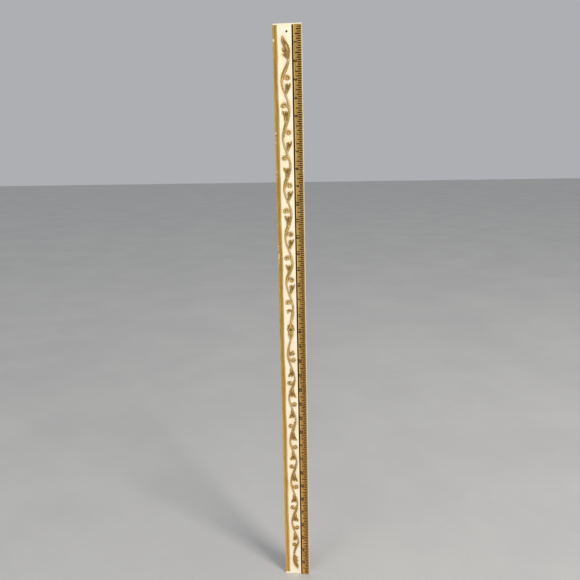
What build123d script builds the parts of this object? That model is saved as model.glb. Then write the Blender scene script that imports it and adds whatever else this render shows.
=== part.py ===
from build123d import *
import os
from collections import namedtuple
from math import cos, pi

# A decorated wall measuring stick: a painted board with a graduated rule let into its right edge,
# a quirk (narrow groove) beside the rule, and an applied vine scroll down the panel.
# X runs across the stick, with the rule at +X. The front faces -Y. Z runs up from the foot.
# "Station" is the distance down from the top end. "Sway" is the distance across from the vine's
# centre line, towards the rule. All sizes are in millimetres.

INCH = 25.4

# Board
board_width = 42.0
board_thickness = 9.5
board_top_margin = 1.6          # bare board above the rule's end
end_corner_radius = 1.5
foot_corner_radius = 4.0        # the one rounder corner, under the rule
arris_radius = 0.7

# Rule
rule_length = 36 * INCH
rule_width = 12.4
rule_thickness = 3.2
rule_proud = 0.3                # how far the rule stands out of the panel
rule_clearance = 0.05           # between the rule's edges and the rabbet
rule_arris_radius = 0.5

# Graduations, cut into the rule's face
divisions_per_inch = 8
mark_width = 1.1
mark_depth = 0.35
mark_edge_margin = 1.1          # from the rule's outer edge to the marks
eighth_mark_length = 4.7
quarter_mark_length = 6.9
half_mark_length = 8.9
inch_mark_length = 5.0

# Quirk
quirk_width = 1.6
quirk_depth = 1.3
quirk_top_margin = 2.2

# Hanging hole
hole_radius = 1.4
hole_station = 10.9
hole_x = -0.65

# Vine: the stem turns from side to side. Even-numbered turns are crests, near the rule, and
# odd-numbered turns are troughs, counted from the terminal leaf towards the flower.
vine_x = -3.1                   # at the flower's middle
vine_lean = 0.0019              # how far the vine leans towards the rule, for each mm down it
vine_sway = 5.0
vine_bays = 5                   # full waves in each half
vine_centre_rise = 1.6          # the flower's middle, above the board's middle
flower_reach = 34.8             # from the flower's middle to the last turn of each half
first_crest = 48.3              # the first turn, before it is shifted by hand
relief_height = 2.0
flower_height = 2.4
seam_gap = 0.02                 # between pieces laid end to end
crest_width = 2.6
stem_widths = (crest_width, 3.4, 4.0, 2.6, 1.7, 1.5, 1.7, 2.0, crest_width)

# Terminal leaf: (share of its length from the tip, share of the sway)
terminal_leaf_line = ((0, -0.4), (0.25, -0.3), (0.48, 0.04), (0.74, 0.28), (1, 1))
terminal_leaf_widths = (1.8, 6.2, 8.4, 9.8, 8.6, crest_width)

# The two halves as laid by hand: the station of the terminal leaf's tip, how far each turn sits
# from even spacing, how far ahead of its turn each curl has its middle, the shares of the full
# sway at the first and last turns, the share of its reach that the first bay's first leaf and
# curl have, and how far the flower reaches from its middle
Half = namedtuple("Half", "leaf_tip shifts leads first_share last_share first_reach flower_end")
upper_leaf_tip = 16.5
lower_leaf_tip = 8.2
upper_shifts = (0, -7.5, -6.7, 0.1, 0.5, -1.6, -1.6, -2.3, 0.3, -5.1, 0.1)
lower_shifts = (-11.9, -23.1, -21.7, -21.6, -17.7, -14.4, -15.0, -11.2, -10.8, -12.3, -9.9)
upper_leads = (4.8, 4.3, 10.0, 11.0, 5.6, 4.5, 5.0, 7.6, 4.5, 10.2)
lower_leads = (5.3, 9.4, 6.9, 7.6, 9.4, 9.4, 11.7, 10.0, 7.9, 7.4)
upper_first_share = 1.0
lower_first_share = 0.53
upper_last_share = 0.94
lower_last_share = 1.1
upper_first_reach = 1.0
lower_first_reach = 0.45

# Leaf: (share of the way to the next turn, share of the sway to the inside). It ends where the
# stem crosses the vine's centre line, halfway between turns.
leaf_line = ((0.124, 1.12), (0.198, 0.85), (0.304, 0.45), (0.41, 0.14), (0.503, 0.0))
leaf_widths = (0.9, 4.0, 5.8, 4.2, 1.2)

# Curl: (distance towards the top end, share of the sway to the inside)
curl_line = ((1.4, -0.15), (2.8, 0.5), (0.6, 1.0), (-1.4, 0.6))
curl_widths = (1.5, 1.9, 2.0, 1.8, 1.6)
curl_root = 2.0                 # the tendril leaves the stem this much nearer its turn
curl_ball_radius = 2.2

# Branch from the last turn to the flower, with a hooked leaf at its start
branch_widths = (2.0, 3.6, 3.4, 2.6)
hook_line = ((9.0, -0.55), (3.6, -0.3), (1.4, 0.5), (3.4, 1.05))
hook_widths = (1.4, 2.6, 3.0, 2.4)

# Flower at the vine's middle
petal_count = 6
petal_radius = 2.4
petal_circle_radius = 3.3
calyx_reach = 9.3
calyx_widths = (8.0, 7.4, 4.2)
flower_tail_reach = 17.0
flower_tail_widths = (6.0, 5.6, 3.6, 1.0)
flower_eye_radius = 1.7
flower_eye_height = 0.8

board_length = rule_length + board_top_margin
board_right = board_width / 2
front_y = -board_thickness / 2
rule_left = board_right - rule_width
quirk_left = rule_left - quirk_width
rabbet_depth = rule_thickness - rule_proud
vine_centre = board_length / 2 - vine_centre_rise
half_pitch = (vine_centre - flower_reach - first_crest) / (2 * vine_bays)

# Front face of the board: local X across, local Y up the stick, local Z out of the face
front = Plane(origin=(0, front_y, 0), x_dir=(1, 0, 0), z_dir=(0, -1, 0))


def spot(station, sway=0.0):
    """A place on the front face."""
    lean = vine_lean * (station - vine_centre)
    return Vector(vine_x + lean + sway, board_length - station)


def end_outline(left, right, top, corner_radius):
    """An upright rectangle from the foot to a height, with its right foot corner rounder."""
    outline = Pos((left + right) / 2, top / 2) * Rectangle(right - left, top)
    foot_right = outline.vertices().group_by(Axis.Y)[0].sort_by(Axis.X)[-1]
    outline = fillet(foot_right, foot_corner_radius)
    if corner_radius:
        others = outline.vertices().group_by(Axis.Y)
        outline = fillet(others[0].sort_by(Axis.X)[:1] + others[-1], corner_radius)
    return outline


def slab(left, right, bottom, top, depth):
    """A block cut into the front face to a depth, open at the face."""
    outline = Pos((left + right) / 2, (bottom + top) / 2) * Rectangle(right - left, top - bottom)
    return extrude(front * outline, amount=depth, both=True)


def upright_edges(solid, x, y):
    """The long upright edges at one place in plan."""
    long_edges = solid.edges().filter_by(Axis.Z).filter_by(lambda e: e.length > board_length / 2)
    return long_edges.filter_by_position(Axis.X, x - 0.01, x + 0.01).filter_by_position(
        Axis.Y, y - 0.01, y + 0.01
    )


def backboard():
    outline = end_outline(-board_right, board_right, board_length, end_corner_radius)
    board = extrude(front * outline, amount=-board_thickness)
    rabbet_top = rule_length + rule_clearance
    board -= slab(rule_left - rule_clearance, board_width, -INCH, rabbet_top, rabbet_depth)
    board -= slab(quirk_left, rule_left, -INCH, board_length - quirk_top_margin, quirk_depth)
    hole = Cylinder(hole_radius, 2 * board_thickness, rotation=(90, 0, 0))
    board -= Pos(hole_x, 0, board_length - hole_station) * hole
    # Each rounding runs on round the corners, so one edge softens the whole front or back arris
    board = fillet(upright_edges(board, -board_right, front_y), arris_radius)
    board = fillet(upright_edges(board, -board_right, -front_y), arris_radius)
    return fillet(upright_edges(board, quirk_left, front_y), arris_radius)


def mark_length(index):
    """Length of a graduation, counted in divisions down from the rule's top end."""
    if index % divisions_per_inch == 0:
        return inch_mark_length
    if index % (divisions_per_inch // 2) == 0:
        return half_mark_length
    if index % (divisions_per_inch // 4) == 0:
        return quarter_mark_length
    return eighth_mark_length


def graduation(index):
    """The cutter of one mark."""
    height = rule_length - index * INCH / divisions_per_inch
    right = board_right - mark_edge_margin
    left = right - mark_length(index)
    mark = slab(left, right, height - mark_width / 2, height + mark_width / 2, mark_depth)
    return Pos(0, -rule_proud, 0) * mark


def rule_strip():
    outline = end_outline(rule_left, board_right, rule_length, 0)
    strip = extrude(front * outline, amount=-rabbet_depth)
    strip += extrude(front * outline, amount=rule_proud)
    strip = fillet(upright_edges(strip, board_right, front_y - rule_proud), rule_arris_radius)
    count = int(rule_length * divisions_per_inch / INCH)
    return strip - [graduation(index) for index in range(1, count)]


def width_at(widths, share):
    """A width between listed widths that are evenly spaced along a line."""
    place = share * (len(widths) - 1)
    step = min(int(place), len(widths) - 2)
    return widths[step] + (widths[step + 1] - widths[step]) * (place - step)


def ribbon(spots, widths, height=relief_height, tangents=()):
    """A band of changing width along a smooth line, standing on the front face."""
    spine = Spline(*spots, tangents=tangents)
    steps = 3 * (len(widths) - 1)
    left = []
    right = []
    for step in range(steps + 1):
        share = step / steps
        along = spine % share
        side = Vector(-along.Y, along.X) * (width_at(widths, share) / 2)
        left.append(spine @ share + side)
        right.append(spine @ share - side)
    outline = Spline(*left) + Line(left[-1], right[-1])
    outline += Spline(*reversed(right)) + Line(right[0], left[0])
    return extrude(front * make_face(outline), amount=height)


def dome(place, radius, height):
    """A round boss with a softened rim."""
    boss = extrude(front * (Pos(place) * Circle(radius)), amount=height)
    rim = boss.edges().sort_by(Axis.Y)[:1]
    return fillet(rim, min(radius, height) * 0.45)


def turn(half, index):
    """Station of a turn, and the stem's sway there: positive at a crest, negative at a trough."""
    side = 1 if index % 2 == 0 else -1
    share = {0: half.first_share, 2 * vine_bays: half.last_share}.get(index, 1)
    return first_crest + index * half_pitch + half.shifts[index], side * share * vine_sway


def reach(half, index):
    """Sway to the inside of a turn that a leaf or curl there is measured by."""
    sway = turn(half, index)[1]
    return -sway * (half.first_reach if index == 1 else 1)


def stem(half, bay):
    """One full wave of the stem, from crest to crest."""
    crest, trough, next_crest = [turn(half, 2 * bay + step) for step in range(3)]
    line = [
        spot(crest[0] + seam_gap, crest[1]),
        spot((crest[0] + trough[0]) / 2),
        spot(*trough),
        spot((trough[0] + next_crest[0]) / 2),
        spot(next_crest[0] - seam_gap, next_crest[1]),
    ]
    down_the_stick = Vector(0, -1)
    return ribbon(line, stem_widths, tangents=(down_the_stick, down_the_stick))


def leaf(half, index):
    """The leaf just past a turn, from its tip inside the bend to where it meets the stem."""
    station = turn(half, index)[0]
    inside = reach(half, index)
    line = [spot(station + half_pitch * way, inside * share) for way, share in leaf_line]
    return ribbon(line, leaf_widths)


def curl(half, index):
    """The curled tendril just ahead of a turn, with a ball at its end inside the bend."""
    station, sway = turn(half, index)
    lead = half.leads[index - 1]
    root = lead - curl_root
    inside = reach(half, index)
    line = [spot(station - root, sway * cos(pi * root / (2 * half_pitch)))]
    line += [spot(station - lead - past, inside * share) for past, share in curl_line]
    return ribbon(line, curl_widths) + dome(line[-1], curl_ball_radius, relief_height)


def terminal_leaf(half):
    """The broad leaf that ends the vine, as far as the first crest."""
    end, sway = turn(half, 0)
    length = end - seam_gap - half.leaf_tip
    line = [spot(half.leaf_tip + length * part, sway * share) for part, share in terminal_leaf_line]
    return ribbon(line, terminal_leaf_widths)


def flower_branch(half):
    """The stem from the last turn to the flower, with a hooked leaf at its start."""
    start, sway = turn(half, 2 * vine_bays)
    end = vine_centre - half.flower_end
    line = [spot(start + seam_gap, sway), spot((start + end) / 2, 0.7 * sway), spot(end)]
    hook = [spot(start + past, -vine_sway * share) for past, share in hook_line]
    return ribbon(line, branch_widths) + ribbon(hook, hook_widths)


def centre_flower():
    """Petals round the vine's middle, a calyx above them and a pointed tail below."""
    middle = spot(vine_centre)
    calyx_end = middle + Vector(0, calyx_reach)
    tail_end = middle - Vector(0, flower_tail_reach)
    flower = ribbon([middle, (middle + calyx_end) / 2, calyx_end], calyx_widths, flower_height)
    flower += ribbon([middle, (middle + tail_end) / 2, tail_end], flower_tail_widths, flower_height)
    petals = Pos(middle) * PolarLocations(petal_circle_radius, petal_count) * Circle(petal_radius)
    for petal in petals:
        flower += extrude(front * petal, amount=flower_height)
    return flower + extrude(front * Pos(middle) * Circle(petal_circle_radius), amount=flower_height)


def flower_eye():
    """The boss in the middle of the flower."""
    eye = dome(spot(vine_centre), flower_eye_radius, flower_eye_height)
    return Pos(0, -flower_height, 0) * eye


def largest(shape):
    """The main solid of a piece, without the crumbs a neighbour's cut leaves across it."""
    return shape.solids().sort_by(SortBy.VOLUME)[-1]


def half_vine(half, flower):
    """Every piece of a half vine by name, from the terminal leaf to the flower."""
    stems = [stem(half, bay) for bay in range(vine_bays)]
    pieces = {
        "terminal_leaf": terminal_leaf(half) - stems[0],
        "flower_branch": flower_branch(half) - flower - stems[-1],
    }
    laid = [*pieces.values(), *stems]
    for bay in range(vine_bays):
        turns = (2 * bay + 1, 2 * bay + 2)
        leaves = [largest(leaf(half, index) - laid) for index in turns if index < 2 * vine_bays]
        curls = [largest(curl(half, index) - laid - leaves) for index in turns]
        pieces[f"vine_stem_{bay + 1}"] = stems[bay]
        pieces[f"vine_leaves_{bay + 1}"] = Compound(children=leaves)
        pieces[f"vine_curls_{bay + 1}"] = Compound(children=curls)
    return pieces


def turned_half(piece):
    """The same piece given a half turn about the vine's middle."""
    middle = front * Pos(spot(vine_centre))
    return piece.rotate(Axis(middle.position, (0, 1, 0)), 180)


def write(name, shape):
    export_step(shape, f"parts/{name}.step")
    print(name, len(shape.solids()), "solids", round(shape.volume, 1), "mm3")


os.makedirs("parts", exist_ok=True)
write("backboard", backboard())
write("rule_strip", rule_strip())
flower = centre_flower()
write("centre_flower", flower)
write("flower_eye", flower_eye())
upper_half = Half(upper_leaf_tip, upper_shifts, upper_leads, upper_first_share,
                  upper_last_share, upper_first_reach, calyx_reach)
lower_half = Half(lower_leaf_tip, lower_shifts, lower_leads, lower_first_share,
                  lower_last_share, lower_first_reach, flower_tail_reach)
for name, piece in half_vine(upper_half, flower).items():
    write(f"upper_{name}", piece)
for name, piece in half_vine(lower_half, turned_half(flower)).items():
    write(f"lower_{name}", turned_half(piece))
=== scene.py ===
"""Looks of a decorated wall measuring stick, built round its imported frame.

X runs across the stick, with the rule at +X. The front faces -Y. Z runs up from the foot.
"Station" is the distance down from the top end, and "sway" the distance across from the vine's
centre line. Lengths below are in millimetres and become metres when a mesh is written.
"""
import math

import bmesh
import bpy
import numpy as np
from mathutils import Matrix, Vector, geometry, kdtree


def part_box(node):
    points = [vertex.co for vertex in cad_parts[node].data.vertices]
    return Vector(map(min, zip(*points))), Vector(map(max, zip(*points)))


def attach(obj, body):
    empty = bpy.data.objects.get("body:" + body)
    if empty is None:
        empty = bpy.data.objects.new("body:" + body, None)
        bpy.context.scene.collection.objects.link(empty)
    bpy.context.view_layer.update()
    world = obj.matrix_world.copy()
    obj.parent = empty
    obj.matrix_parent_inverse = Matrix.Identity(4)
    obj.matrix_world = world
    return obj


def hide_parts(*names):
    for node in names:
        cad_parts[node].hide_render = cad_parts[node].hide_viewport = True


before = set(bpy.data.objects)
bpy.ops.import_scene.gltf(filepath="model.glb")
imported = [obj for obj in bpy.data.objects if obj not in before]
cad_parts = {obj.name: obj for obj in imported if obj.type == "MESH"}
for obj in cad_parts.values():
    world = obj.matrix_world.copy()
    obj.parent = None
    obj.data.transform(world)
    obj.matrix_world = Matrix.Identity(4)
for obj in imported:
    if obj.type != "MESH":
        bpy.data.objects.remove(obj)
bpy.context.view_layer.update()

MM = 0.001
INCH = 25.4

# ---- Stage -----------------------------------------------------------------------------------
FLOOR_HALF = 12.0                # metres from the middle of the floor to its edge
WORLD_STRENGTH = 0.68
KEY_POWER = 112
FILL_POWER = 27

# ---- Inch numbers, painted on the rule -------------------------------------------------------
NUMBER_TALL = 5.0
NUMBER_WIDEST = (4.9, 7.2)       # one digit, two digits
NUMBER_RAISED = 1.6              # how far single digits stand above their marks
NUMBER_EDGE_GAP = 0.45           # from the rule's inner edge
NUMBER_FILM = 0.03               # how far the paint stands out
NUMBER_DEPTH = 0.045             # thickness of the film's solid

# ---- The front panel's grid, fine enough to carry a tint round the vine ----------------------
PANEL_STEP_X = 0.9
PANEL_STEP_Z = 1.3
TINT_REACH = 1.3

# ---- Sizes shared with the frame -------------------------------------------------------------
board_low, board_high = [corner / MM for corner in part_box("backboard")]
rule_low, rule_high = [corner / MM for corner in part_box("rule_strip")]
BOARD_LEFT = board_low.x
BOARD_RIGHT = board_high.x
BOARD_LENGTH = board_high.z
FRONT_Y = board_low.y
RULE_TOP_MARGIN = board_high.z - rule_high.z
RULE_FRONT_Y = rule_low.y
RULE_LEFT = rule_low.x
QUIRK_WIDTH = 1.6
QUIRK_TOP_MARGIN = 2.2
QUIRK_LEFT = RULE_LEFT - QUIRK_WIDTH
MARK_EDGE_MARGIN = 1.1
MARK_LENGTHS = (4.7, 6.9, 8.9, 5.0)   # every eighth, quarter, half and whole inch
HOLE_X = -0.65
HOLE_STATION = 10.9
HOLE_RADIUS = 1.4
BAND_RIGHT = BOARD_LEFT + 7.9      # where the gold band on the board's left ends
# Chipped stretches of the left arris: first and last station, and the noise above which paint is gone.
BOARD_CHIPS = ((20.5, 24, 0.34), (147, 171, 0.52), (196, 217, 0.56), (318, 353, 0.52), (600, 640, 0.6))

# ---- The vine, as the frame has it -----------------------------------------------------------
VINE_X = -3.1
VINE_LEAN = 0.0019               # towards the rule, for each millimetre down the stick
VINE_SWAY = 5.0
BAYS = 5
VINE_CENTRE = BOARD_LENGTH / 2 - 1.6
FLOWER_REACH = 34.8
FIRST_CREST = 48.3
HALF_PITCH = (VINE_CENTRE - FLOWER_REACH - FIRST_CREST) / (2 * BAYS)
RELIEF = 2.0
FLOWER_RELIEF = 2.4
EYE_RELIEF = 0.8
SINK = 0.12                      # how far each relief's rim is let into the panel
BAND_SIDE_DRAWN_IN = 3.6         # leaves on the gold band's side stop this much short of the bend
SHEATH_START = 5.0               # from a crest to the sheath leaf laid over the stem
SHEATH_SHORT = 3.5               # and from the sheath leaf's point to the trough
CURL_REACH = 3.0                 # from the vine's centre line to a curl's ball
VOLUTE = ((8, 4.6), (48, 4.3), (90, 3.7), (135, 3.3), (180, 3.0),
          (228, 2.5), (275, 2.15), (322, 1.9), (365, 1.7))     # degrees turned, reach from the ball

UPPER = {
    "prefix": "upper",
    "turned": False,
    "leaf_tip": 16.5,
    "drawn_in": 0.7,
    "shifts": (0, -7.5, -6.7, 0.1, 0.5, -1.6, -1.6, -2.3, 0.3, -5.1, 0.1),
    "leads": (4.8, 4.3, 10.0, 11.0, 5.6, 4.5, 5.0, 7.6, 4.5, 10.2),
    "first_share": 1.0,
    "last_share": 0.94,
    "first_reach": 1.0,
}
LOWER = {
    "prefix": "lower",
    "turned": True,
    "leaf_tip": 8.2,
    "drawn_in": 3.0,
    "shifts": (-11.9, -23.1, -21.7, -21.6, -17.7, -14.4, -15.0, -11.2, -10.8, -12.3, -9.9),
    "leads": (5.3, 9.4, 6.9, 7.6, 9.4, 9.4, 11.7, 10.0, 7.9, 7.4),
    "first_share": 0.53,
    "last_share": 1.1,
    "first_reach": 0.45,
}


def turn(half, index):
    """Station and sway of a turn of the stem."""
    side = 1 if index % 2 == 0 else -1
    share = {0: half["first_share"], 2 * BAYS: half["last_share"]}.get(index, 1)
    return FIRST_CREST + index * HALF_PITCH + half["shifts"][index], side * share * VINE_SWAY


def inward(half, index):
    """The sign and share by which places inside a bend are carried to the vine's other side."""
    return (1 if index % 2 else -1) * (half["first_reach"] if index == 1 else 1)


# ---- Lines -----------------------------------------------------------------------------------
def spline(points, count, start=None, end=None):
    """Points evenly spaced in parameter along a natural cubic spline, with optional end tangents."""
    p = np.array(points, float)
    chord = np.linalg.norm(np.diff(p, axis=0), axis=1)
    t = np.concatenate([[0], np.cumsum(chord)])
    n = len(p)
    h = np.diff(t)
    a = np.zeros((n, n))
    b = np.zeros((n, p.shape[1]))
    for i in range(1, n - 1):
        a[i, i - 1] = h[i - 1]
        a[i, i] = 2 * (h[i - 1] + h[i])
        a[i, i + 1] = h[i]
        b[i] = 6 * ((p[i + 1] - p[i]) / h[i] - (p[i] - p[i - 1]) / h[i - 1])
    a[0, 0] = a[-1, -1] = 1
    if start is not None:
        a[0, :2] = 2 * h[0], h[0]
        b[0] = 6 * ((p[1] - p[0]) / h[0] - np.array(start))
    if end is not None:
        a[-1, -2:] = h[-1], 2 * h[-1]
        b[-1] = 6 * (np.array(end) - (p[-1] - p[-2]) / h[-1])
    m = np.linalg.solve(a, b)
    out = []
    for s in np.linspace(0, t[-1], count):
        i = min(int(np.searchsorted(t, s, side="right")) - 1, n - 2)
        x, y = t[i + 1] - s, s - t[i]
        out.append(
            (m[i] * x**3 + m[i + 1] * y**3) / (6 * h[i])
            + (p[i] / h[i] - m[i] * h[i] / 6) * x
            + (p[i + 1] / h[i] - m[i + 1] * h[i] / 6) * y
        )
    return np.array(out)


def blend_list(values, share):
    """A value read from an evenly spaced list, eased from one entry to the next."""
    place = share * (len(values) - 1)
    i = min(int(place), len(values) - 2)
    f = place - i
    f = f * f * (3 - 2 * f)
    return values[i] * (1 - f) + values[i + 1] * f


def ease(low, high, x):
    """0 below low, 1 above high, smooth between."""
    f = min(max((x - low) / (high - low), 0.0), 1.0)
    return f * f * (3 - 2 * f)


# ---- Relief meshes ---------------------------------------------------------------------------
class Relief:
    """Gathers swept strands and bosses standing on the panel, and writes them as one mesh."""

    def __init__(self, turned=False):
        self.turned = turned
        self.vertices = []
        self.faces = []
        self.wash = []

    def add(self, station, sway, height, wash):
        """A vertex at a station and sway, standing out by a height, with its share of brown wash."""
        if self.turned:
            station, sway = 2 * VINE_CENTRE - station, -sway
        x = VINE_X + VINE_LEAN * (station - VINE_CENTRE) + sway
        self.vertices.append((x, FRONT_Y - height, BOARD_LENGTH - station))
        self.wash.append(wash)
        return len(self.vertices) - 1

    def strand(self, line, widths, profile, across):
        """A ribbon of changing width along a line, with its height and wash given by a profile."""
        steps = len(line)
        tangent = np.gradient(line, axis=0)
        tangent /= np.linalg.norm(tangent, axis=1)[:, None]
        rows = []
        for i, (p, d) in enumerate(zip(line, tangent)):
            u = i / (steps - 1)
            reach = blend_list(widths, u) / 2
            row = []
            for j in range(across + 1):
                v = math.sin((j / across - 0.5) * math.pi)
                height, wash = profile(u, v)
                if j in (0, across):
                    height, wash = -SINK, 1.0
                row.append(self.add(p[0] - d[1] * v * reach, p[1] + d[0] * v * reach, height, wash))
            rows.append(row)
        for low, high in zip(rows, rows[1:]):
            for j in range(across):
                self.faces.append((low[j], low[j + 1], high[j + 1], high[j]))
            self.faces.append((low[across], low[0], high[0], high[across]))
        self.faces.append(tuple(reversed(rows[0])))
        self.faces.append(tuple(rows[-1]))

    def boss(self, centre, radius, profile, rings, segments):
        """A round raised piece, with its height and wash given by a profile."""
        rows = []
        for k in range(1, rings + 1):
            share = math.sin(k / rings * math.pi / 2)
            row = []
            for j in range(segments):
                angle = 2 * math.pi * j / segments
                reach = radius * share
                height, wash = profile(share, angle)
                if k == rings:
                    height, wash = -SINK, 1.0
                row.append(self.add(centre[0] + reach * math.cos(angle),
                                    centre[1] + reach * math.sin(angle), height, wash))
            rows.append(row)
        height, wash = profile(0.0, 0.0)
        top = self.add(centre[0], centre[1], height, wash)
        for j in range(segments):
            after = (j + 1) % segments
            self.faces.append((top, rows[0][j], rows[0][after]))
            for low, high in zip(rows, rows[1:]):
                self.faces.append((low[j], high[j], high[after], low[after]))
        self.faces.append(tuple(reversed(rows[-1])))

    def write(self, name, node, material):
        """Makes the object, puts it on the stick and lets it stand for its CAD node."""
        mesh = bpy.data.meshes.new(name)
        mesh.from_pydata([[c * MM for c in v] for v in self.vertices], [], self.faces)
        attribute = mesh.attributes.new("wash", "FLOAT", "POINT")
        attribute.data.foreach_set("value", np.array(self.wash, np.float32))
        built = bmesh.new()
        built.from_mesh(mesh)
        bmesh.ops.recalc_face_normals(built, faces=built.faces)
        built.to_mesh(mesh)
        built.free()
        mesh.shade_smooth()
        mesh.materials.append(material)
        piece = bpy.data.objects.new(name, mesh)
        bpy.context.scene.collection.objects.link(piece)
        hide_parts(node)
        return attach(piece, "root")


def crown(v, sharpness=2.6):
    """Height across a strand, from 1 in the middle to 0 at its rims."""
    return max(1 - abs(v) ** sharpness, 0.0) ** 0.62


def groove(x, middle, width):
    """How deep in a groove a place is: 1 in its middle, fading to 0."""
    return math.exp(-((x - middle) / width) ** 2)


def rim_wash(v):
    return abs(v) ** 3.2


def cord_profile(height):
    """A plain rounded strand."""
    def profile(u, v):
        ends = ease(0, 0.06, u) * ease(0, 0.06, 1 - u)
        return height * crown(v) * (0.55 + 0.45 * ends), rim_wash(v)
    return profile


def lobe_profile(height, ribs=1):
    """A leaf lobe: pointed at its start, highest past its middle, with up to two grooves down it."""
    def profile(u, v):
        rise = ease(-0.05, 0.45, u) * (0.55 + 0.45 * ease(0, 0.25, 1 - u))
        middles = {0: (), 1: (0.0,), 2: (-0.12, 0.62)}[ribs]
        cut = sum(groove(v, middle, 0.15) for middle in middles) * ease(0.05, 0.3, u)
        return height * (crown(v) * (0.62 + 0.38 * rise) - 0.34 * cut), max(rim_wash(v), 1.1 * cut)
    return profile


# ---- Pieces of the vine ----------------------------------------------------------------------
STEM_WIDTHS = {
    "upper": (2.5, 3.4, 4.6, 4.4, 3.0, 1.9, 1.7, 1.7, 1.9, 2.1, 2.4),
    "lower": (1.9, 2.5, 3.4, 3.3, 2.3, 1.6, 1.5, 1.5, 1.6, 1.7, 1.9),
}


def stem(half, bay, material):
    """One full wave: the strand that comes down is leafy and grooved, the one that goes on is plain."""
    crest, trough, after = [turn(half, 2 * bay + step) for step in range(3)]
    line = spline([crest, ((crest[0] + trough[0]) / 2, 0), trough,
                   ((trough[0] + after[0]) / 2, 0), after], 150, (1, 0), (1, 0))
    turn_share = (trough[0] - crest[0]) / (after[0] - crest[0])

    def profile(u, v):
        leafy = ease(0.0, 0.1, u) * (1 - ease(turn_share - 0.14, turn_share + 0.02, u))
        cut = groove(v, 0.28 - 0.5 * u / turn_share, 0.15) * leafy
        vein = 0.6 * groove(v, -0.52 + 0.3 * u / turn_share, 0.1) * leafy
        height = RELIEF * (crown(v) * (0.74 + 0.24 * leafy) - 0.34 * cut - 0.2 * vein)
        return height, max(rim_wash(v), 0.9 * cut, 0.9 * vein)

    relief = Relief(half["turned"])
    relief.strand(line, STEM_WIDTHS[half["prefix"]], profile, 14)
    # The sheath leaf laid over the strand, ending in a point just before the trough.
    start, end = crest[0] + SHEATH_START, trough[0] - SHEATH_SHORT
    span = end - start
    drop = trough[0] - crest[0]
    sheath = [(start + span * f, crest[1] * math.cos(math.pi * (SHEATH_START + span * f) / drop) + d)
              for f, d in ((0, 0.7), (0.3, 1.0), (0.55, 1.0), (0.8, 0.9), (1, 1.5))]
    slim = 0.7 if half["turned"] else 1.0
    widths = [slim * width for width in (0.5, 1.5, 2.5, 2.3, 0.5)]
    relief.strand(spline(sheath, 50), widths, lobe_profile(RELIEF, 1), 10)
    name = f"{half['prefix']}_vine_stem_{bay + 1}"
    return relief.write(name + "_relief", name, material)


def add_leaf(relief, half, index):
    """A bell-shaped leaf inside a bend: its mouth to the bend, its body running back into the stem."""
    station = turn(half, index)[0]
    inner = inward(half, index)
    drawn_in = BAND_SIDE_DRAWN_IN if (index % 2 == 0) != half["turned"] else half["drawn_in"]

    def inside(points):
        """Places given as (station past the turn, reach); those on the band's side are drawn in."""
        return [(station + past, inner * (reach - drawn_in * ease(18.0, 10.0, past)))
                for past, reach in points]

    def mouth(u, v):
        rim = ease(0.2, 0.03, u)
        ribs = sum(groove(v, middle, 0.13) for middle in (-0.36, 0.3)) * (1 - ease(0.6, 0.95, u))
        dent = 0.36 * groove(v, -0.05, 0.6) * ease(0.06, 0.2, u) * (1 - ease(0.3, 0.6, u))
        body = crown(v, 4.0) * (0.84 + 0.12 * rim + 0.08 * ease(0.5, 0.9, u))
        height = RELIEF * (body - dent - 0.24 * ribs)
        return height, max(rim_wash(v), 1.05 * dent + 0.7 * ribs - 0.4 * rim)

    root = min(HALF_PITCH * 0.5, 19.0) + 1.5
    bell = inside(((3.8, 5.3), (6.8, 4.8), (10.4, 3.7), (14.6, 2.2))) + [(station + root, -inner * 0.3)]
    relief.strand(spline(bell, 40), (4.2, 6.6, 6.0, 4.6, 3.5, 2.5, 1.4), mouth, 16)
    for tip, widths in ((((2.6, 8.4), (4.7, 7.9), (7.6, 6.5), (11.0, 4.6)), (0.6, 1.8, 2.1, 1.3)),
                        (((4.2, 1.3), (6.2, 1.9), (8.8, 2.2), (12.0, 2.2)), (0.6, 1.7, 2.0, 1.2))):
        relief.strand(spline(inside(tip), 24), widths, lobe_profile(0.98 * RELIEF, 1), 8)


def add_curl(relief, half, index):
    """A tendril that leaves the stem ahead of a turn, arches up and winds round a ball."""
    station, sway = turn(half, index)
    side = 1 if sway > 0 else -1
    lead = half["leads"][index - 1]
    middle = (station - lead + 0.6, inward(half, index) * CURL_REACH)
    root = max(lead - 4.5, -2.0)
    points = [(station - root, side * VINE_SWAY * math.cos(math.pi * root / (2 * HALF_PITCH)))]
    for turned, reach in VOLUTE:
        angle = math.radians(turned)
        points.append((middle[0] - reach * math.sin(angle), middle[1] + side * reach * math.cos(angle)))
    widths = (1.6, 1.9, 2.1, 2.2, 2.2, 2.0, 1.8, 1.4, 0.8)
    relief.strand(spline(points, 90), widths, cord_profile(0.86 * RELIEF), 8)

    def bed(share, angle):
        return 0.4 * RELIEF * (1 - share**6), 0.65
    relief.boss(middle, 2.2, bed, rings=4, segments=24)

    def ball(share, angle):
        return RELIEF * max(1 - share**2.4, 0) ** 0.5, 0.7 * share**5
    relief.boss(middle, 1.85, ball, rings=6, segments=22)


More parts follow.
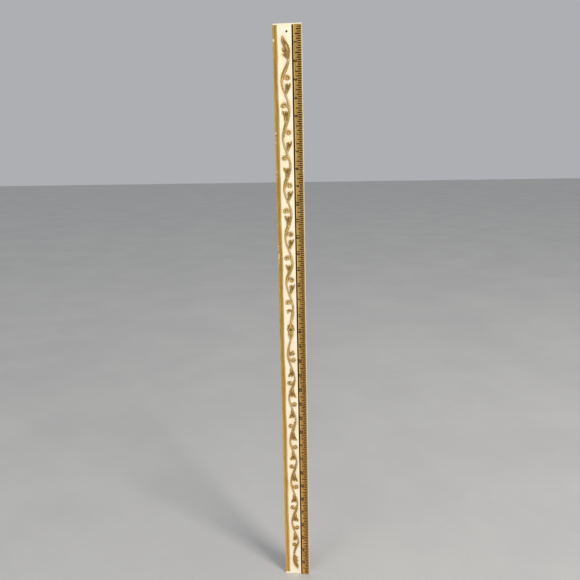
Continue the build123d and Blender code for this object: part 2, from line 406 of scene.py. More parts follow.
def terminal_leaf(half, material):
    """The half-acanthus leaf at the vine's end: slanting lobes over one another on a base plate."""
    end, sway = turn(half, 0)
    relief = Relief(half["turned"])
    tip = half["leaf_tip"]
    scale = (end - tip) / 31.8
    lean = sway / 5.0

    def at(points, count=48):
        """Places given as (station past the tip, sway in the upper leaf) in this half's leaf."""
        return spline([(tip + s * scale, x * lean if x > 0 else x) for s, x in points], count)

    plate = at(((6, 0.6), (12, 2.4), (18, 3.6), (24, 4.0), (29, 4.4), (32.6, 5.0)))
    relief.strand(plate, (1.0, 3.6, 5.2, 5.6, 5.2, 4.0, 2.6), lobe_profile(0.6 * RELIEF, 0), 12)
    lobes = (
        (((0.0, -2.5), (4, -3.0), (8, -2.3), (12, -0.5), (16, 1.5), (22, 4.0), (28, 5.0)),
         (0.9, 2.7, 3.3, 3.5, 3.0, 2.2, 1.4), 0.96),
        (((2.0, -1.2), (6, 0.5), (10, 2.6), (14, 4.7), (18, 5.8), (24, 6.0), (31, 5.3)),
         (0.6, 2.1, 2.6, 3.0, 3.0, 2.8, 2.4), 1.0),
        (((16.0, -2.7), (18.4, -2.0), (21, 0.0), (24.5, 2.6), (28.5, 4.4)),
         (1.4, 3.7, 3.6, 2.8, 1.4), 0.92),
        (((25.0, -3.4), (25.3, -1.9), (26.2, 0.1), (28.2, 2.5), (31.2, 4.6)),
         (0.7, 2.5, 3.6, 3.4, 2.0), 0.88),
    )
    for points, widths, share in lobes:
        relief.strand(at(points), widths, lobe_profile(share * RELIEF, 2), 14)
    name = f"{half['prefix']}_terminal_leaf"
    return relief.write(name + "_relief", name, material)


def flower_branch(half, material):
    """Two strands that merge on their way to the flower, with a hooked leaf at their start."""
    start, sway = turn(half, 2 * BAYS)
    end = VINE_CENTRE - (17.0 if half["turned"] else 9.3)
    relief = Relief(half["turned"])
    middle = (start + end) / 2
    slim = 0.65 if half["turned"] else 1.0
    for side, height in ((-1, 0.95), (1, 0.85)):
        line = [(start + 0.3, sway + 0.3 * side), ((start + middle) / 2, 0.86 * sway + 0.85 * slim * side),
                (middle + 2, 0.6 * sway + 0.75 * slim * side), (end, 0.25 * side)]
        widths = [slim * width for width in (1.6, 2.0, 2.1, 1.8, 1.6)]
        relief.strand(spline(line, 40), widths, cord_profile(height * RELIEF), 8)
    hook = [(start + 9.5, 3.4), (start + 5.4, 2.6), (start + 2.6, 0.4),
            (start + 2.2, -2.8), (start + 4.6, -5.4)]
    stout = 1.3 if half["turned"] else 1.0
    widths = [stout * width for width in (0.9, 1.8, 2.5, 2.6, 2.2, 0.7)]
    relief.strand(spline(hook, 44), widths, lobe_profile(0.92 * RELIEF), 8)
    if half["turned"]:
        blade = [(start - 0.5, 2.6), (start + 2.6, 0.6), (start + 5.4, -1.6), (start + 8.4, -3.4)]
        relief.strand(spline(blade, 30), (1.4, 3.4, 4.6, 4.2, 1.2), lobe_profile(RELIEF), 10)
    barb = [(start + 4.0, -1.4), (start + 5.6, -3.2), (start + 8.0, -3.9)]
    relief.strand(spline(barb, 20), (1.2, 1.9, 0.5), cord_profile(0.8 * RELIEF), 6)
    name = f"{half['prefix']}_flower_branch"
    return relief.write(name + "_relief", name, material)


def centre_flower(material):
    """A six-petalled rosette with a calyx above and a heart-shaped tail below, and its eye."""
    relief = Relief()

    def petal(share, angle):
        cut = groove(math.sin(angle), 0.0, 0.3) * share * (1 - share)
        return FLOWER_RELIEF * 0.94 * max(1 - share**2.2, 0) ** 0.55 - 0.5 * cut, max(share**3, cut)

    for number in range(6):
        angle = math.pi * (number / 3 + 1 / 6)
        middle = (VINE_CENTRE + 3.5 * math.cos(angle), 3.5 * math.sin(angle))
        relief.boss(middle, 2.2, petal, rings=6, segments=20)
    for side in (-1, 1):
        sepal = [(VINE_CENTRE - 9.3, 0.5 * side), (VINE_CENTRE - 7.2, 2.3 * side),
                 (VINE_CENTRE - 4.4, 3.4 * side), (VINE_CENTRE - 2.4, 2.0 * side)]
        relief.strand(spline(sepal, 30), (1.2, 2.4, 2.6, 1.4), lobe_profile(0.85 * FLOWER_RELIEF), 8)
        heart = [(VINE_CENTRE + 2.4, 1.0 * side), (VINE_CENTRE + 6.2, 2.9 * side),
                 (VINE_CENTRE + 10.4, 2.4 * side), (VINE_CENTRE + 14.2, 1.0 * side),
                 (VINE_CENTRE + 17.0, 0.1 * side)]
        relief.strand(spline(heart, 44), (1.4, 2.0, 2.1, 1.7, 0.9), cord_profile(0.85 * FLOWER_RELIEF), 8)
    relief.strand(spline([(VINE_CENTRE + 4, 0), (VINE_CENTRE + 9, 0), (VINE_CENTRE + 14.5, 0)], 30),
                  (1.8, 2.2, 0.8), lobe_profile(0.62 * FLOWER_RELIEF), 8)

    def bed(share, angle):
        return 0.5 * FLOWER_RELIEF * (1 - share**6), 0.8
    relief.boss((VINE_CENTRE, 0), 4.6, bed, rings=6, segments=28)
    relief.strand(spline([(VINE_CENTRE + 3, 0), (VINE_CENTRE + 8, 0), (VINE_CENTRE + 15, 0)], 24),
                  (3.0, 5.6, 4.6, 1.6), lobe_profile(0.4 * FLOWER_RELIEF, 0), 8)
    relief.strand(spline([(VINE_CENTRE - 9, 0), (VINE_CENTRE - 6, 0), (VINE_CENTRE - 3, 0)], 16),
                  (1.4, 4.4, 5.6), lobe_profile(0.6 * FLOWER_RELIEF, 0), 8)
    flower = relief.write("centre_flower_relief", "centre_flower", material)

    eye = Relief()

    def boss(share, angle):
        dome = EYE_RELIEF * math.sqrt(max(1 - share**2, 0)) * (1 - 0.5 * groove(share, 0.0, 0.35))
        return FLOWER_RELIEF + dome, max(share**2, groove(share, 0.0, 0.4))
    eye.boss((VINE_CENTRE, 0), 1.7, boss, rings=8, segments=24)
    eye.write("flower_eye_relief", "flower_eye", material)
    return flower


def half_vine(half, material):
    pieces = [terminal_leaf(half, material), flower_branch(half, material)]
    for bay in range(BAYS):
        pieces.append(stem(half, bay, material))
        leaves, curls = Relief(half["turned"]), Relief(half["turned"])
        for index in (2 * bay + 1, 2 * bay + 2):
            if index < 2 * BAYS:
                add_leaf(leaves, half, index)
            add_curl(curls, half, index)
        for kind, relief in (("leaves", leaves), ("curls", curls)):
            name = f"{half['prefix']}_vine_{kind}_{bay + 1}"
            pieces.append(relief.write(name + "_relief", name, material))
    return pieces


# ---- Materials -------------------------------------------------------------------------------
def paint(red, green, blue):
    """A display colour, 0 to 255, as the renderer's linear colour."""
    def linear(c):
        c /= 255
        return c / 12.92 if c <= 0.04045 else ((c + 0.055) / 1.055) ** 2.4
    return (linear(red), linear(green), linear(blue), 1.0)


class Graph:
    """A material and short ways to build its nodes. Places are in millimetres in the stick's frame."""

    def __init__(self, name):
        self.material = bpy.data.materials.new(name)
        self.material.use_nodes = True
        self.tree = self.material.node_tree
        self.tree.nodes.clear()
        where = self.node("ShaderNodeTexCoord").outputs["Object"]
        self.place = self.vector("SCALE", where, Scale=1 / MM)
        split = self.node("ShaderNodeSeparateXYZ", Vector=self.place)
        self.x, self.y, self.z = split.outputs
        self.station = self.math("SUBTRACT", BOARD_LENGTH, self.z)

    def node(self, kind, **sockets):
        made = self.tree.nodes.new(kind)
        for key, value in sockets.items():
            self.feed(made.inputs[key.replace("_", " ")], value)
        return made

    def feed(self, socket, value):
        if isinstance(value, bpy.types.NodeSocket):
            self.tree.links.new(value, socket)
        else:
            socket.default_value = value

    def math(self, operation, a, b=0.0, clamp=False):
        made = self.tree.nodes.new("ShaderNodeMath")
        made.operation = operation
        made.use_clamp = clamp
        self.feed(made.inputs[0], a)
        self.feed(made.inputs[1], b)
        return made.outputs[0]

    def vector(self, operation, a, **sockets):
        made = self.tree.nodes.new("ShaderNodeVectorMath")
        made.operation = operation
        self.feed(made.inputs[0], a)
        for key, value in sockets.items():
            self.feed(made.inputs[key], value)
        return made.outputs[0]

    def stretched(self, x, y, z):
        made = self.tree.nodes.new("ShaderNodeVectorMath")
        made.operation = "MULTIPLY"
        self.feed(made.inputs[0], self.place)
        made.inputs[1].default_value = (x, y, z)
        return made.outputs[0]

    def noise(self, scale, detail=3.0, roughness=0.55, vector=None, seed=0.0):
        """Noise about 0.5, with features about 1/scale millimetres across."""
        made = self.tree.nodes.new("ShaderNodeTexNoise")
        made.noise_dimensions = "4D"
        self.feed(made.inputs["Vector"], vector if vector else self.place)
        made.inputs["W"].default_value = seed
        made.inputs["Scale"].default_value = scale
        made.inputs["Detail"].default_value = detail
        made.inputs["Roughness"].default_value = roughness
        return made.outputs[0]

    def step(self, value, low, high):
        """0 below low and 1 above high, or the other way round if low is above high."""
        made = self.tree.nodes.new("ShaderNodeMapRange")
        made.interpolation_type = "SMOOTHSTEP"
        self.feed(made.inputs["Value"], value)
        flip = low > high
        made.inputs["From Min"].default_value = min(low, high)
        made.inputs["From Max"].default_value = max(low, high)
        made.inputs["To Min"].default_value = 1.0 if flip else 0.0
        made.inputs["To Max"].default_value = 0.0 if flip else 1.0
        return made.outputs[0]

    def patches(self, scale, seed, low, high, detail=3, roughness=0.6):
        """Noise cut into soft patches: 0 where it is below low, 1 where it is above high."""
        return self.step(self.noise(scale, detail, roughness, None, seed), low, high)

    def wander(self, scale, seed, span):
        """Noise about 0 that spans about a length, to make an edge uneven."""
        return self.times(self.math("SUBTRACT", self.noise(scale, 3, 0.6, None, seed), 0.5), span)

    def between(self, value, low, high, soft):
        """1 from low to high, 0 outside, with edges this soft."""
        above = self.step(value, low - soft, low + soft)
        return self.times(above, self.step(value, high + soft, high - soft))

    def times(self, *values):
        out = values[0]
        for value in values[1:]:
            out = self.math("MULTIPLY", out, value)
        return out

    def mix(self, share, under, over):
        made = self.tree.nodes.new("ShaderNodeMix")
        made.data_type = "RGBA"
        self.feed(made.inputs[0], share)
        self.feed(made.inputs[6], under)
        self.feed(made.inputs[7], over)
        return made.outputs[2]

    def attribute(self, name):
        made = self.tree.nodes.new("ShaderNodeAttribute")
        made.attribute_name = name
        return made.outputs["Fac"]

    def finish(self, color, roughness, height, bump_mm, metallic=0.0):
        """Closes the material with a shader, its bump standing out by a height in millimetres."""
        shader = self.tree.nodes.new("ShaderNodeBsdfPrincipled")
        self.feed(shader.inputs["Base Color"], color)
        self.feed(shader.inputs["Roughness"], roughness)
        self.feed(shader.inputs["Metallic"], metallic)
        shader.inputs["Specular IOR Level"].default_value = 0.3
        bump = self.tree.nodes.new("ShaderNodeBump")
        bump.inputs["Strength"].default_value = 1.0
        bump.inputs["Distance"].default_value = bump_mm * MM
        self.feed(bump.inputs["Height"], height)
        self.feed(shader.inputs["Normal"], bump.outputs[0])
        out = self.tree.nodes.new("ShaderNodeOutputMaterial")
        self.feed(out.inputs["Surface"], shader.outputs[0])
        return self.material


def gold_colours(g, seed):
    """Aged gold paint: streaks of bright and dull gold, olive tints and brown patches."""
    streaks = g.noise(0.5, 4, 0.6, g.stretched(1, 1, 0.12), seed)
    blotch = g.noise(0.13, 3, 0.6, None, seed + 3)
    fine = g.noise(1.6, 3, 0.6, None, seed + 5)
    gold = g.mix(g.step(streaks, 0.3, 0.7), paint(146, 114, 42), paint(190, 156, 76))
    gold = g.mix(g.times(g.step(blotch, 0.5, 0.72), 0.55), gold, paint(138, 118, 38))
    gold = g.mix(g.times(g.step(blotch, 0.5, 0.3), 0.45), gold, paint(172, 126, 54))
    return g.mix(g.times(g.step(fine, 0.56, 0.74), 0.5), gold, paint(112, 76, 20)), streaks, fine


def cream_paint(g):
    """The board's cream ground, specked and flecked, tanned close to the vine's rims, partly antique glaze
    and partly painted shade at the foot of the relief.
    """
    broad = g.noise(0.035, 2, 0.5, None, 1)
    brush = g.noise(0.9, 3, 0.6, g.stretched(1, 1, 0.07), 2)
    speck = g.noise(1.1, 3, 0.65, None, 3)
    cream = g.mix(g.step(broad, 0.35, 0.65), paint(250, 240, 216), paint(245, 231, 199))
    cream = g.mix(g.times(g.step(brush, 0.45, 0.8), 0.3), cream, paint(236, 221, 188))
    cream = g.mix(g.times(g.step(speck, 0.62, 0.78), 0.35), cream, paint(205, 190, 160))
    fleck = g.patches(0.55, 6, 0.6, 0.72, 4, 0.7)
    cream = g.mix(g.times(fleck, 0.4), cream, paint(222, 196, 172))
    # Tan tint close to the vine's rims: partly antique glaze, partly painted shade where the panel meets
    # the relief.
    tint = g.times(g.attribute("near"), g.patches(0.35, 4, 0.25, 0.6))
    return g.mix(g.math("MULTIPLY", tint, 0.9, True), cream, paint(226, 190, 132)), brush, speck


def gold_band(g, color, along):
    """The band brushed on by hand along the left edge of the front, over a colour."""
    gold, streaks, _ = gold_colours(g, 11)
    drift = g.noise(0.02, 2, 0.5, g.stretched(0, 0, 1), 12)
    edge = g.math("ADD", g.x, g.times(g.math("SUBTRACT", drift, 0.5), 3.0))
    edge = g.math("ADD", edge, g.wander(0.5, 13, 1.0))
    edge = g.math("SUBTRACT", edge, g.times(g.station, 0.0009))
    on_front = g.step(g.y, FRONT_Y + 0.75, FRONT_Y + 0.45)
    band = g.times(g.step(edge, BAND_RIGHT, BAND_RIGHT - 1.2), along, on_front)
    gold = g.mix(g.times(g.step(g.station, 420.0, 860.0), 0.55), gold, paint(222, 168, 84))
    middle = g.between(edge, BOARD_LEFT + 2.4, BOARD_LEFT + 4.6, 0.8)
    gold = g.mix(g.times(middle, 0.7), gold, paint(146, 108, 30))
    thin = g.step(edge, BAND_RIGHT - 2.6, BAND_RIGHT - 0.6)
    gold = g.mix(g.times(thin, 0.85), gold, paint(222, 192, 136))
    return g.mix(band, color, gold), band, streaks


def left_arris(g, color, along):
    """The left arris, rubbed pale, with chips down to the ground coat."""
    arris = g.times(g.step(g.x, BOARD_LEFT + 0.75, BOARD_LEFT + 0.35), along,
                    g.patches(0.09, 14, 0.36, 0.5, 4, 0.65))
    color = g.mix(g.times(arris, 0.8), color, paint(226, 204, 160))
    chips = None
    for low, high, threshold in BOARD_CHIPS:
        spot = g.times(g.between(g.station, low, high, 1.2),
                       g.patches(0.42, low, threshold, threshold + 0.05))
        chips = spot if chips is None else g.math("MAXIMUM", chips, spot)
    chips = g.times(chips, g.step(g.x, BOARD_LEFT + 2.9, BOARD_LEFT + 1.9))
    return g.mix(chips, color, paint(240, 226, 196)), chips


def dirt_groove_and_hole(g, color):
    """Dirt at the foot, the brown groove beside the rule and painted shade in and round the hole, over a
    colour.
    """
    ragged_z = g.math("ADD", g.z, g.times(g.noise(0.3, 3, 0.6, None, 21), 5.0))
    foot_dirt = g.times(g.step(ragged_z, 5.0, 2.0), 0.5)
    color = g.mix(foot_dirt, color, paint(168, 146, 112))
    in_quirk = g.times(g.between(g.x, QUIRK_LEFT - 0.5, RULE_LEFT + 0.2, 0.12),
                       g.step(g.y, FRONT_Y - 0.1, FRONT_Y - 0.02),
                       g.step(g.station, QUIRK_TOP_MARGIN - 0.4, QUIRK_TOP_MARGIN + 0.1))
    brown = g.mix(g.patches(0.2, 22, 0.4, 0.7), paint(24, 8, 2), paint(54, 26, 8))
    color = g.mix(in_quirk, color, brown)
    # Painted shade: the hole's bore and a thin ring round it on the front are painted near black.
    off_x = g.math("SUBTRACT", g.x, HOLE_X)
    off_z = g.math("SUBTRACT", g.station, HOLE_STATION)
    reach = g.math("SQRT", g.math("ADD", g.times(off_x, off_x), g.times(off_z, off_z)))
    hole = g.step(reach, HOLE_RADIUS + 0.35, HOLE_RADIUS + 0.1)
    return g.mix(hole, color, paint(14, 8, 4)), in_quirk


def bare_back(g, color):
    """Bare wood at the back, darkened by age, with paint lapping over its edges."""
    grain = g.noise(0.55, 5, 0.6, g.stretched(1, 1, 0.02), 31)
    rings = g.noise(0.12, 3, 0.6, g.stretched(1, 1, 0.03), 32)
    wood = g.mix(g.step(grain, 0.35, 0.65), paint(112, 78, 46), paint(164, 124, 80))
    wood = g.mix(g.times(g.step(rings, 0.45, 0.7), 0.6), wood, paint(134, 94, 54))
    lap = g.math("ADD", g.math("ABSOLUTE", g.x), g.times(g.noise(0.25, 4, 0.6, None, 33), 3.0))
    bare = g.times(g.step(g.y, -FRONT_Y - 0.5, -FRONT_Y - 0.2),
                   g.step(lap, BOARD_RIGHT + 0.5, BOARD_RIGHT - 0.3))
    color = g.mix(bare, color, wood)
    worn = g.times(g.step(g.y, -FRONT_Y - 1.1, -FRONT_Y - 0.1), g.patches(0.2, 34, 0.5, 0.6, 4))
    painted = g.math("SUBTRACT", 1.0, bare)
    return g.mix(g.times(worn, painted, 0.8), color, paint(148, 112, 72)), bare, grain


def board_material():
    """Cream paint with a gold band down the left, a brown groove, dirt, chips and a bare back."""
    g = Graph("painted_board_finish")
    color, brush, speck = cream_paint(g)
    along = g.times(g.step(g.z, 3.2, 4.2), g.step(g.station, 1.3, 2.3))
    color, band, streaks = gold_band(g, color, along)
    color, chips = left_arris(g, color, along)
    color, in_quirk = dirt_groove_and_hole(g, color)
    color, bare, grain = bare_back(g, color)
    height = g.math("ADD", g.times(brush, 0.5), g.times(speck, 0.35))
    height = g.math("ADD", height, g.times(g.math("ADD", band, g.times(streaks, band)), 0.25))
    height = g.math("SUBTRACT", height, g.times(chips, 0.9))
    height = g.math("ADD", height, g.times(bare, grain, 0.8))
    gloss = g.math("ADD", 0.52, g.times(g.math("SUBTRACT", speck, 0.5), 0.25))
    gloss = g.math("SUBTRACT", gloss, g.times(band, 0.1))
    gloss = g.math("ADD", gloss, g.times(in_quirk, 0.4))
    return g.finish(color, g.math("ADD", gloss, g.times(bare, 0.3)), height, 0.22)


def fading(g):
    """How far the rule's dark filling has gone: 0 near the top end, 1 down the stick."""
    worn = g.math("ADD", g.station, g.wander(0.05, 61, 150.0))
    return g.step(worn, 190.0, 430.0)


def filling(g, most):
    """Dark brown filling of the marks and numbers, rubbed to a golden brown lower down by up to a share."""
    fade = fading(g)
    dark = g.mix(g.patches(0.5, 62, 0.35, 0.65), paint(32, 12, 0), paint(60, 28, 2))
    old = g.mix(g.patches(0.4, 63, 0.4, 0.62), paint(64, 26, 2), paint(104, 60, 12))
    return g.mix(g.times(fade, most), dark, old)


def painted_marks(g):
    """Where the marks' filling has spread past their cuts, a little unevenly."""
    eighths = g.math("DIVIDE", g.math("SUBTRACT", g.station, RULE_TOP_MARGIN), INCH / 8)
    whole = g.math("ROUND", eighths)
    off = g.math("ABSOLUTE", g.math("SUBTRACT", eighths, whole))
    ragged = g.wander(0.8, 66, 0.3)
    beside = g.step(g.math("ADD", off, ragged), 0.3, 0.2)
    left = BOARD_RIGHT - MARK_EDGE_MARGIN - MARK_LENGTHS[0]
    for every, longer in zip((2, 4, 8), np.diff(MARK_LENGTHS)):
        rest = g.math("FLOORED_MODULO", g.math("ADD", whole, 0.5), float(every))
        left = g.math("SUBTRACT", left, g.times(g.step(rest, 1.0, 0.9), float(longer)))
    along = g.times(g.step(g.math("SUBTRACT", g.x, left), -0.2, 0.1),
                    g.step(g.x, BOARD_RIGHT - MARK_EDGE_MARGIN + 0.3, BOARD_RIGHT - MARK_EDGE_MARGIN))
    inside = g.times(g.step(g.station, RULE_TOP_MARGIN + 1.5, RULE_TOP_MARGIN + 2.0), g.step(g.z, 1.0, 1.5))
    return g.times(beside, along, inside)


def rule_material():
    """Gold paint on the rule, brown in its cuts, with a rubbed outer edge and a side painted a darker tan
    than the board's cream.
    """
    g = Graph("gilt_rule_finish")
    gold, streaks, fine = gold_colours(g, 41)
    across = g.step(g.x, RULE_LEFT + 0.2, RULE_LEFT + 2.6)
    gold = g.mix(g.times(g.math("SUBTRACT", 1.0, across), 0.6), gold, paint(226, 190, 130))
    gold = g.mix(g.times(g.step(g.station, 420.0, 860.0), 0.75), gold, paint(212, 160, 84))
    middle = g.between(g.x, RULE_LEFT + 5.0, RULE_LEFT + 10.6, 1.6)
    gold = g.mix(g.times(middle, 0.35), gold, paint(132, 94, 32))
    gold = g.mix(g.times(g.patches(1.1, 46, 0.55, 0.7), 0.5), gold, paint(214, 176, 96))
    grimed = g.times(g.step(g.station, 330.0, 560.0),
                     g.between(g.x, RULE_LEFT + 0.8, BOARD_RIGHT - 2.4, 0.8))
    dirt = g.patches(0.3, 42, 0.44, 0.56, 4, 0.65)
    gold = g.mix(g.times(dirt, grimed, 0.36), gold, paint(112, 70, 18))
    rubbed = g.times(g.step(g.x, BOARD_RIGHT - 1.1, BOARD_RIGHT - 0.5),
                     g.patches(0.12, 43, 0.3, 0.52, 4, 0.65))
    gold = g.mix(g.times(rubbed, 0.75), gold, paint(218, 188, 132))
    cuts = g.times(g.step(g.y, RULE_FRONT_Y + 0.06, RULE_FRONT_Y + 0.22),
                   g.between(g.x, RULE_LEFT + 1.2, BOARD_RIGHT - 0.9, 0.15))
    color = g.mix(g.math("MAXIMUM", cuts, painted_marks(g)), gold, filling(g, 0.85))
    brink = g.times(g.step(g.x, RULE_LEFT + 0.4, RULE_LEFT + 0.15), 0.9)
    color = g.mix(brink, color, paint(40, 18, 6))
    # The outer side of the rule is painted a tan darker than the board's cream front.
    side = g.step(g.x, BOARD_RIGHT - 0.22, BOARD_RIGHT - 0.06)
    cream = g.mix(g.patches(0.1, 44, 0.4, 0.65), paint(168, 142, 100), paint(196, 170, 126))
    color = g.mix(side, color, cream)
    chipped = g.times(g.step(g.x, BOARD_RIGHT - 1.8, BOARD_RIGHT - 0.9), g.patches(0.3, 45, 0.56, 0.6))
    places = g.math("MAXIMUM", g.between(g.station, 203, 213, 1.5), g.between(g.station, 226, 236, 1.5))
    chips = g.times(chipped, places)
    color = g.mix(chips, color, paint(240, 224, 190))
    height = g.math("ADD", g.times(streaks, 0.5), g.times(fine, 0.6))
    height = g.math("SUBTRACT", height, g.times(chips, 0.9))
    roughness = g.math("ADD", 0.4, g.times(fine, 0.2))
    return g.finish(color, roughness, height, 0.2, 0.25)


def number_material():
    g = Graph("rule_number_finish")
    color = filling(g, 0.4)
    worn = g.patches(0.7, 64, 0.56, 0.64)
    color = g.mix(g.times(worn, 0.4), color, paint(126, 90, 36))
    return g.finish(color, 0.55, g.noise(1.4, 3, 0.6, None, 65), 0.08)


def ornament_material():
    """Gold paint over the mouldings, with brown wash left in the hollows and at the rims, and a painted
    highlight along the tops.
    """
    g = Graph("gilt_ornament_finish")
    gold, streaks, fine = gold_colours(g, 51)
    wash = g.attribute("wash")
    rough_wash = g.math("ADD", wash, g.wander(0.9, 52, 0.5))
    # Painted highlight: pale gold laid on the crowns of the relief, where the wash is thinnest.
    raised = g.step(rough_wash, 0.25, 0.0)
    gold = g.mix(g.times(raised, 0.75), gold, paint(246, 212, 140))
    lower = g.step(g.station, 420.0, 800.0)
    gold = g.mix(g.times(lower, 0.4), gold, paint(204, 142, 56))
    color = g.mix(g.step(rough_wash, 0.24, 0.68), gold, paint(88, 52, 10))
    patch = g.patches(0.08, 53, 0.52, 0.68, 2, 0.5)
    color = g.mix(g.times(patch, 0.4), color, paint(140, 118, 42))
    russet = g.patches(0.11, 54, 0.56, 0.68, 2, 0.5)
    color = g.mix(g.times(russet, 0.35), color, paint(170, 104, 40))
    height = g.math("ADD", g.times(streaks, 0.3), g.times(fine, 0.7))
    return g.finish(color, g.math("ADD", 0.42, g.times(fine, 0.2)), height, 0.16, 0.2)


# ---- The board, its panel made fine enough to carry the tint round the vine -------------------
def board_piece(rims, material):
    """The board's own shape with a fine front panel that knows how near the vine each place is."""
    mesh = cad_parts["backboard"].data.copy()
    mesh.name = "painted_board"
    built = bmesh.new()
    built.from_mesh(mesh)
    bmesh.ops.remove_doubles(built, verts=built.verts, dist=1e-7)
    panel = [f for f in built.faces
             if f.normal.y < -0.999 and abs(f.calc_center_median().y / MM - FRONT_Y) < 0.01
             and f.calc_center_median().x / MM < QUIRK_LEFT]
    members = set(panel)
    border = [e for e in built.edges if sum(f in members for f in e.link_faces) == 1]
    corners = list({v for e in border for v in e.verts})
    order = {v: i for i, v in enumerate(corners)}
    flat = [Vector((v.co.x / MM, v.co.z / MM)) for v in corners]
    low_x, high_x = min(p.x for p in flat), max(p.x for p in flat)
    low_z, high_z = min(p.y for p in flat), max(p.y for p in flat)
    inner = []
    for x in np.arange(low_x + 0.6, high_x - 0.3, PANEL_STEP_X):
        for z in np.arange(low_z + 0.7, high_z - 0.4, PANEL_STEP_Z):
            if math.hypot(x - HOLE_X, z - BOARD_LENGTH + HOLE_STATION) > HOLE_RADIUS + 0.5:
                inner.append(Vector((x, z)))
    edges = [(order[e.verts[0]], order[e.verts[1]]) for e in border]
    points, _, triangles, origins, _, _ = geometry.delaunay_2d_cdt(flat + inner, edges, [], 1, 1e-6)
    bmesh.ops.delete(built, geom=panel, context="FACES_ONLY")
    made = []
    for point, origin in zip(points, origins):
        known = [i for i in origin if i < len(corners)]
        place = (point.x * MM, FRONT_Y * MM, point.y * MM)
        made.append(corners[known[0]] if known else built.verts.new(place))
    for triangle in triangles:
        middle = sum((points[i] for i in triangle), Vector((0, 0))) / 3
        if math.hypot(middle.x - HOLE_X, middle.y - BOARD_LENGTH + HOLE_STATION) < HOLE_RADIUS - 0.04:
            continue
        try:
            face = built.faces.new([made[i] for i in triangle])
        except ValueError:
            continue
        face.normal_update()
        if face.normal.y > 0:
            face.normal_flip()
    loose = [v for v in built.verts if not v.link_faces]
    bmesh.ops.delete(built, geom=loose, context="VERTS")
    built.to_mesh(mesh)
    built.free()
    # How near the vine's rims each place is, for the tan tint there: partly glaze and partly painted shade.
    near = mesh.attributes.new("near", "FLOAT", "POINT")
    values = []
    for v in mesh.vertices:
        reach = rims.find(v.co / MM)[2] if abs(v.co.y / MM - FRONT_Y) < 0.05 else 99.0
        values.append(math.exp(-reach / TINT_REACH))
    near.data.foreach_set("value", np.array(values, np.float32))
    mesh.materials.clear()
    mesh.materials.append(material)
    for polygon in mesh.polygons:
        polygon.material_index = 0
    piece = bpy.data.objects.new("painted_board", mesh)
    bpy.context.scene.collection.objects.link(piece)
    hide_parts("backboard")
    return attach(piece, "root")


def numbers_piece(material):
    """The inch numbers, painted beside their marks with their tops towards the outer edge."""
    built = bmesh.new()
    for inch in range(1, 36):
        text = bpy.data.curves.new("number", "FONT")
        text.body = str(inch)
        text.size = 1.0
        text.align_x = "CENTER"
        text.offset = 0.055
        holder = bpy.data.objects.new("number", text)
        mesh = bpy.data.meshes.new_from_object(holder)
        co = np.array([v.co for v in mesh.vertices])
        low, high = co.min(0), co.max(0)
        tall = NUMBER_TALL / (high[1] - low[1])
        single = inch < 10
        wide = min(tall * 1.15, NUMBER_WIDEST[0 if single else 1] / (high[0] - low[0]))
        station = RULE_TOP_MARGIN + inch * INCH - (NUMBER_RAISED if single else 0.0)
        turned = Matrix((
            (0, tall, 0, RULE_LEFT + NUMBER_EDGE_GAP - low[1] * tall),
            (0, 0, 0, RULE_FRONT_Y - NUMBER_FILM),
            (-wide, 0, 0, BOARD_LENGTH - station + (low[0] + high[0]) / 2 * wide),
            (0, 0, 0, 1)))
        for v in mesh.vertices:
            v.co = (turned @ v.co) * MM
        built.from_mesh(mesh)
        bpy.data.objects.remove(holder)
        bpy.data.curves.remove(text)
        bpy.data.meshes.remove(mesh)
    walls = bmesh.ops.extrude_face_region(built, geom=list(built.faces))
    for v in (item for item in walls["geom"] if isinstance(item, bmesh.types.BMVert)):
        v.co.y += NUMBER_DEPTH * MM
    bmesh.ops.recalc_face_normals(built, faces=built.faces)
    mesh = bpy.data.meshes.new("rule_numbers")
    built.to_mesh(mesh)
    built.free()
    mesh.materials.append(material)
    piece = bpy.data.objects.new("rule_numbers", mesh)
    bpy.context.scene.collection.objects.link(piece)
    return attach(piece, "root")


# ---- Building --------------------------------------------------------------------------------
gilt = ornament_material()
vine = half_vine(UPPER, gilt) + half_vine(LOWER, gilt) + [centre_flower(gilt)]

rim_points = [v.co / MM for piece in vine for v in piece.data.vertices if v.co.y / MM > FRONT_Y - 0.5]
rims = kdtree.KDTree(len(rim_points))
for number, point in enumerate(rim_points):
    rims.insert((point.x, FRONT_Y, point.z), number)
rims.balance()
board_piece(rims, board_material())

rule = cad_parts["rule_strip"]
rule.data.materials.clear()
rule.data.materials.append(rule_material())
numbers_piece(number_material())


# ---- Floor, light and camera -----------------------------------------------------------------
def floor_material():
    g = Graph("floor_finish")
    cloud = g.noise(0.004, 4, 0.6, None, 71)
    color = g.mix(g.step(cloud, 0.3, 0.7), paint(208, 207, 205), paint(214, 213, 210))
    return g.finish(color, 0.8, g.noise(0.2, 4, 0.6, None, 72), 0.3)


floor_mesh = bpy.data.meshes.new("floor")
floor_corners = [(x * FLOOR_HALF, y * FLOOR_HALF, 0) for x, y in ((-1, -1), (1, -1), (1, 1), (-1, 1))]
floor_mesh.from_pydata(floor_corners, [], [(0, 1, 2, 3)])
floor_mesh.materials.append(floor_material())
floor = bpy.data.objects.new("floor", floor_mesh)
bpy.context.scene.collection.objects.link(floor)

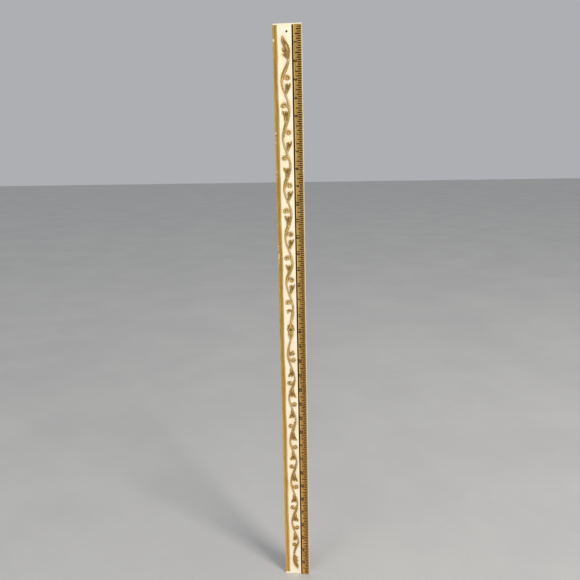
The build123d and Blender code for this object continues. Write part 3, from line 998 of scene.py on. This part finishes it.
world = bpy.data.worlds.new("studio")
world.use_nodes = True
world.node_tree.nodes["Background"].inputs["Color"].default_value = paint(206, 208, 212)
world.node_tree.nodes["Background"].inputs["Strength"].default_value = WORLD_STRENGTH
bpy.context.scene.world = world


def softbox(name, place, target, size, power, color):
    light = bpy.data.lights.new(name, "AREA")
    light.shape = "RECTANGLE"
    light.size, light.size_y = size
    light.energy = power
    light.color = color
    lamp = bpy.data.objects.new(name, light)
    lamp.location = place
    lamp.rotation_euler = (Vector(target) - Vector(place)).to_track_quat("-Z", "Y").to_euler()
    bpy.context.scene.collection.objects.link(lamp)


softbox("key", (2.6, -2.3, 1.7), (0, 0, 0.36), (1.2, 2.2), KEY_POWER, (1.0, 0.97, 0.92))
softbox("fill", (-2.4, -3.3, 1.5), (0, 0, 0.3), (2.2, 2.2), FILL_POWER, (0.96, 0.98, 1.0))

# The camera stands in front of the stick and a little to its right, looking down at it.
CAMERA_PLACE = (98.65, -890.3, 744.3)
CAMERA_TURN = math.radians(6.56)
CAMERA_DIP = math.radians(13.81)
CAMERA_ROLL = math.radians(-1.18)
forward = Vector((-math.sin(CAMERA_TURN) * math.cos(CAMERA_DIP),
                  math.cos(CAMERA_TURN) * math.cos(CAMERA_DIP), -math.sin(CAMERA_DIP)))
level = forward.cross(Vector((0, 0, 1))).normalized()
upright = level.cross(forward)
right = level * math.cos(CAMERA_ROLL) + upright * math.sin(CAMERA_ROLL)
up = right.cross(forward)
camera_data = bpy.data.cameras.new("camera")
camera_data.sensor_width = 36.0
camera_data.lens = 36.0
camera_data.clip_start = 0.01
camera = bpy.data.objects.new("camera", camera_data)
camera.matrix_world = Matrix((
    (right.x, up.x, -forward.x, CAMERA_PLACE[0] * MM),
    (right.y, up.y, -forward.y, CAMERA_PLACE[1] * MM),
    (right.z, up.z, -forward.z, CAMERA_PLACE[2] * MM),
    (0, 0, 0, 1)))
bpy.context.scene.collection.objects.link(camera)
bpy.context.scene.camera = camera
bpy.context.scene.view_settings.view_transform = "Standard"
